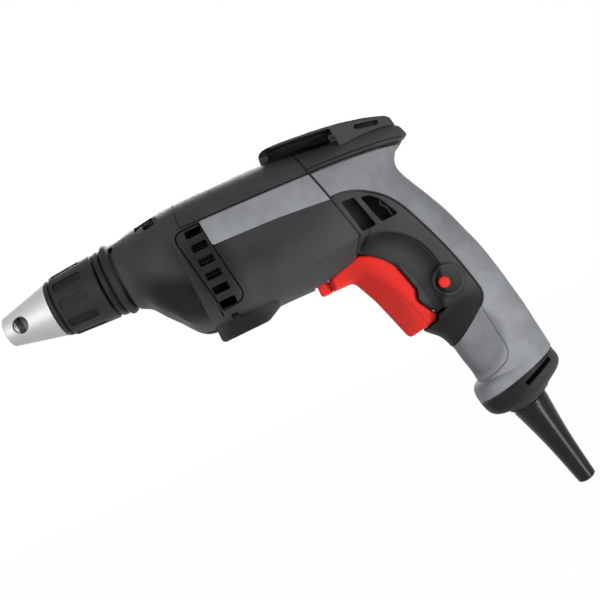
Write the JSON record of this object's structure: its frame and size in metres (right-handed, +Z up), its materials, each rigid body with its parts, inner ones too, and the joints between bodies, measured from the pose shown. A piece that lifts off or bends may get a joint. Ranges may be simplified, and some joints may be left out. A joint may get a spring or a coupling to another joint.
{
  "type": "drywall screw gun",
  "caption": "Corded drywall screwdriver with a tapered depth nose, fluted depth collar, slanted pistol grip, long trigger, lock button, reversing lever and belt hook.",
  "frame": {"origin": "centre of the nose mouth, on the spindle axis", "axes": "+X from the nose back along the spindle axis, +Z up with the grip hanging down, the lock button on the -Y side"},
  "size_m": [0.2655, 0.068, 0.2404],
  "materials": {
    "body_plastic": "charcoal moulded plastic, fine grain",
    "collar_plastic": "near-black moulded plastic",
    "soft_grip": "grey soft over-moulding, slightly mottled",
    "red_plastic": "red moulded plastic, satin",
    "guard_rubber": "black rubber with a soft sheen",
    "nose_steel": "bright turned metal",
    "steel": "machined steel",
    "black_steel": "blackened screw steel",
    "lamination": "stacked core sheet",
    "copper": "enamelled copper",
    "brass": "folded brass",
    "bronze": "sintered bronze",
    "cast_aluminium": "die-cast, as cast",
    "inner_plastic": "black glass-filled plastic",
    "carbon": "pressed carbon",
    "magnet": "plated magnet",
    "capacitor": "moulded block"
  },
  "bodies": {
    "housing": {"index_ring": "collar_plastic", "spindle_seal": "guard_rubber", "front_bush": "bronze", "thrust_washer": "steel", "rear_bush": "bronze", "bearing_bridge": "cast_aluminium", "front_bearing": "steel", "rear_bearing": "steel", "air_baffle": "inner_plastic", "stator_core": "lamination", "field_coils": "copper", "stator_screws": "steel", "brush_carrier": "inner_plastic", "brush_holders": "brass", "carbon_brushes": "carbon", "brush_springs": "steel", "gear_housing": "body_plastic", "case_screws": "black_steel", "motor_housing": "body_plastic", "band_left": "soft_grip", "band_right": "soft_grip", "handle_shell_left": "body_plastic", "handle_shell_right": "body_plastic", "grip_left": "soft_grip", "grip_right": "soft_grip", "handle_screws": "black_steel", "belt_hook": "body_plastic", "hook_screws": "black_steel", "trigger_spring": "steel", "switch_module": "inner_plastic", "lock_spring": "steel", "suppressor_capacitor": "capacitor", "cable_clamp": "inner_plastic", "clamp_screws": "steel", "cord_guard": "guard_rubber"},
    "armature": {"armature_core": "lamination", "armature_shaft": "steel", "armature_windings": "copper", "commutator": "copper", "cooling_fan": "inner_plastic"},
    "gear": {"drive_gear": "steel", "clutch_spring": "steel"},
    "spindle": {"spindle": "steel", "bit_holder": "steel", "bit_magnet": "magnet"},
    "sleeve": {"depth_sleeve": "inner_plastic", "snap_ring": "steel"},
    "nose": {"nose_cone": "nose_steel"},
    "collar": {"depth_collar": "collar_plastic"},
    "trigger": {"trigger": "red_plastic"},
    "lever": {"reversing_lever": "red_plastic"},
    "lock": {"lock_button": "red_plastic"}
  },
  "joints": [
    {"name": "armature_spin", "type": "hinge", "parent": "housing", "child": "armature", "pos_m": [0.15, 0, -0.01463], "axis": [1, 0, 0], "continuous": true},
    {"name": "drive_gear_spin", "type": "hinge", "parent": "housing", "child": "gear", "pos_m": [0.097, 0, 0], "axis": [1, 0, 0], "continuous": true},
    {"name": "spindle_push", "type": "slide", "parent": "gear", "child": "spindle", "axis": [1, 0, 0], "range_m": [0, 0.0024], "stiffness_N_per_m": 4000, "springref_m": -0.002, "deforming": ["clutch_spring"]},
    {"name": "nose_depth", "type": "slide", "parent": "housing", "child": "sleeve", "axis": [-1, 0, 0], "range_m": [-0.0005, 0.004]},
    {"name": "collar_turn", "type": "hinge", "parent": "sleeve", "child": "collar", "pos_m": [0.045, 0, 0], "axis": [1, 0, 0], "range_deg": [-90.5, 720.5]},
    {"name": "nose_pull", "type": "slide", "parent": "sleeve", "child": "nose", "axis": [-1, 0, 0], "range_m": [0, 0.045]},
    {"name": "trigger_pull", "type": "slide", "parent": "housing", "child": "trigger", "axis": [0.9925, 0, 0.1219], "range_m": [0, 0.0065], "stiffness_N_per_m": 1500, "springref_m": -0.003, "deforming": ["trigger_spring"]},
    {"name": "lock_press", "type": "slide", "parent": "housing", "child": "lock", "axis": [0, 1, 0], "range_m": [0, 0.0025], "stiffness_N_per_m": 800, "springref_m": -0.002, "deforming": ["lock_spring"]},
    {"name": "reverse_throw", "type": "hinge", "parent": "housing", "child": "lever", "pos_m": [0.188, 0, -0.044], "axis": [0, 0, 1], "range_deg": [-9, 9]}
  ],
  "couplings": [
    {"joint": "drive_gear_spin", "follows": "armature_spin", "ratio": -0.25},
    {"joint": "collar_turn", "follows": "nose_depth", "rad_per_m": 3141.6}
  ]
}
